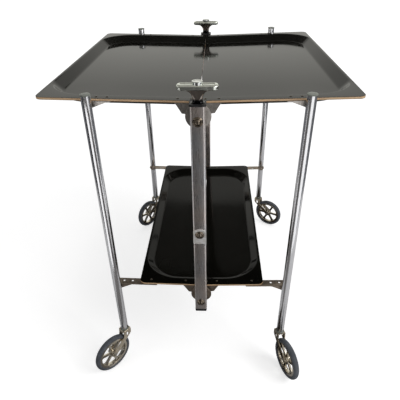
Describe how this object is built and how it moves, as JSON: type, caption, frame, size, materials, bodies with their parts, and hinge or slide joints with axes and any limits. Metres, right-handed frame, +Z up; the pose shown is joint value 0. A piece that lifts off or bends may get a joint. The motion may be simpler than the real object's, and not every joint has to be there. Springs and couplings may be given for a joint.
{
  "type": "folding room service table",
  "caption": "Folding trolley with an upper and a lower tray, each hinged along its middle between columns with lifting handles, on upright round legs with castors.",
  "frame": {"origin": "on the floor, under the middle of the outer box with the castors as pictured; the middle of the trays is 30.0 mm towards +Y of it", "axes": "+Z up, X across the table from one pair of legs to the other, -Y towards the front handle"},
  "size_m": [0.5302, 0.6608, 0.6545],
  "materials": {
    "plywood": "satin",
    "tray_laminate": "gloss",
    "hinge_steel": "satin",
    "rivet_steel": "satin",
    "column_metal": "satin anodised",
    "black_plastic": "matt",
    "handle_black": "gloss",
    "handle_chrome": "polished",
    "plate_metal": "satin",
    "screw_steel": "satin",
    "leg_chrome": "polished",
    "leg_plug_plastic": "satin",
    "pin_steel": "satin",
    "castor_nickel": "satin nickel",
    "wheel_metal": "satin nickel",
    "tyre": "ribbed rubber"
  },
  "bodies": {
    "centre_frame": {"front_column": "column_metal", "rear_column": "column_metal", "column_end_caps": "black_plastic", "column_collars": "black_plastic", "handle_necks": "handle_black", "front_handle": "handle_chrome", "rear_handle": "handle_chrome", "column_plates": "plate_metal", "column_bolts": "screw_steel", "hinge_nuts": "screw_steel", "cup_washers": "screw_steel", "hinge_discs": "hinge_steel"},
    "upper_left_half": {"upper_left_tray": "plywood", "upper_left_laminate": "tray_laminate", "upper_left_gussets": "hinge_steel", "upper_left_leg_brackets": "hinge_steel", "upper_left_rivets": "rivet_steel"},
    "upper_right_half": {"upper_right_tray": "plywood", "upper_right_laminate": "tray_laminate", "upper_right_gussets": "hinge_steel", "upper_right_leg_brackets": "hinge_steel", "upper_right_rivets": "rivet_steel"},
    "lower_left_half": {"lower_left_tray": "plywood", "lower_left_laminate": "tray_laminate", "lower_left_gussets": "hinge_steel", "lower_left_leg_straps": "hinge_steel", "lower_left_rivets": "rivet_steel"},
    "lower_right_half": {"lower_right_tray": "plywood", "lower_right_laminate": "tray_laminate", "lower_right_gussets": "hinge_steel", "lower_right_leg_straps": "hinge_steel", "lower_right_rivets": "rivet_steel"},
    "front_left_leg": {"front_left_leg": "leg_chrome", "front_left_leg_plugs": "leg_plug_plastic", "front_left_leg_pins": "pin_steel"},
    "front_left_castor": {"front_left_fork": "castor_nickel", "front_left_castor_pins": "pin_steel"},
    "front_left_wheel": {"front_left_wheel": "wheel_metal", "front_left_tyre": "tyre"},
    "front_right_leg": {"front_right_leg": "leg_chrome", "front_right_leg_plugs": "leg_plug_plastic", "front_right_leg_pins": "pin_steel"},
    "front_right_castor": {"front_right_fork": "castor_nickel", "front_right_castor_pins": "pin_steel"},
    "front_right_wheel": {"front_right_wheel": "wheel_metal", "front_right_tyre": "tyre"},
    "rear_left_leg": {"rear_left_leg": "leg_chrome", "rear_left_leg_plugs": "leg_plug_plastic", "rear_left_leg_pins": "pin_steel"},
    "rear_left_castor": {"rear_left_fork": "castor_nickel", "rear_left_castor_pins": "pin_steel"},
    "rear_left_wheel": {"rear_left_wheel": "wheel_metal", "rear_left_tyre": "tyre"},
    "rear_right_leg": {"rear_right_leg": "leg_chrome", "rear_right_leg_plugs": "leg_plug_plastic", "rear_right_leg_pins": "pin_steel"},
    "rear_right_castor": {"rear_right_fork": "castor_nickel", "rear_right_castor_pins": "pin_steel"},
    "rear_right_wheel": {"rear_right_wheel": "wheel_metal", "rear_right_tyre": "tyre"}
  },
  "joints": [
    {"name": "upper_left_fold", "type": "hinge", "parent": "upper_left_half", "child": "centre_frame", "pos_m": [0, 0.03004, 0.593], "axis": [0, 1, 0], "range_deg": [0, 76]},
    {"name": "upper_right_fold", "type": "hinge", "parent": "centre_frame", "child": "upper_right_half", "pos_m": [0, 0.03004, 0.593], "axis": [0, 1, 0], "range_deg": [0, 76]},
    {"name": "lower_left_fold", "type": "hinge", "parent": "centre_frame", "child": "lower_left_half", "pos_m": [0, 0.03004, 0.193], "axis": [0, -1, 0], "range_deg": [0, 76]},
    {"name": "lower_right_fold", "type": "hinge", "parent": "centre_frame", "child": "lower_right_half", "pos_m": [0, 0.03004, 0.193], "axis": [0, 1, 0], "range_deg": [0, 76]},
    {"name": "front_left_leg_pivot", "type": "hinge", "parent": "front_left_leg", "child": "upper_left_half", "pos_m": [-0.176, -0.25026, 0.612], "axis": [0, -1, 0], "range_deg": [0, 76]},
    {"name": "front_left_swivel", "type": "hinge", "parent": "front_left_leg", "child": "front_left_castor", "pos_m": [-0.176, -0.25026, 0.095], "axis": [0, 0, 1], "continuous": true},
    {"name": "front_left_roll", "type": "hinge", "parent": "front_left_castor", "child": "front_left_wheel", "pos_m": [-0.20224, -0.28098, 0.045], "axis": [0.7604, -0.6494, 0], "continuous": true},
    {"name": "front_right_leg_pivot", "type": "hinge", "parent": "upper_right_half", "child": "front_right_leg", "pos_m": [0.176, -0.25026, 0.612], "axis": [0, -1, 0], "range_deg": [0, 76]},
    {"name": "front_right_swivel", "type": "hinge", "parent": "front_right_leg", "child": "front_right_castor", "pos_m": [0.176, -0.25026, 0.095], "axis": [0, 0, 1], "continuous": true},
    {"name": "front_right_roll", "type": "hinge", "parent": "front_right_castor", "child": "front_right_wheel", "pos_m": [0.19054, -0.28796, 0.045], "axis": [0.933, 0.36, 0], "continuous": true},
    {"name": "rear_left_leg_pivot", "type": "hinge", "parent": "upper_left_half", "child": "rear_left_leg", "pos_m": [-0.176, 0.31034, 0.612], "axis": [0, 1, 0], "range_deg": [0, 76]},
    {"name": "rear_left_swivel", "type": "hinge", "parent": "rear_left_leg", "child": "rear_left_castor", "pos_m": [-0.176, 0.31034, 0.095], "axis": [0, 0, 1], "continuous": true},
    {"name": "rear_left_roll", "type": "hinge", "parent": "rear_left_castor", "child": "rear_left_wheel", "pos_m": [-0.20037, 0.27811, 0.045], "axis": [0.7976, -0.6032, 0], "continuous": true},
    {"name": "rear_right_leg_pivot", "type": "hinge", "parent": "upper_right_half", "child": "rear_right_leg", "pos_m": [0.176, 0.31034, 0.612], "axis": [0, -1, 0], "range_deg": [0, 76]},
    {"name": "rear_right_swivel", "type": "hinge", "parent": "rear_right_leg", "child": "rear_right_castor", "pos_m": [0.176, 0.31034, 0.095], "axis": [0, 0, 1], "continuous": true},
    {"name": "rear_right_roll", "type": "hinge", "parent": "rear_right_castor", "child": "rear_right_wheel", "pos_m": [0.21026, 0.28893, 0.045], "axis": [0.5299, 0.848, 0], "continuous": true}
  ],
  "couplings": [
    {"joint": "upper_right_fold", "follows": "upper_left_fold", "ratio": 1},
    {"joint": "lower_left_fold", "follows": "upper_left_fold", "ratio": 1},
    {"joint": "lower_right_fold", "follows": "upper_left_fold", "ratio": 1},
    {"joint": "front_left_leg_pivot", "follows": "upper_left_fold", "ratio": 1},
    {"joint": "front_right_leg_pivot", "follows": "upper_left_fold", "ratio": 1},
    {"joint": "rear_left_leg_pivot", "follows": "upper_left_fold", "ratio": 1},
    {"joint": "rear_right_leg_pivot", "follows": "upper_left_fold", "ratio": 1}
  ]
}
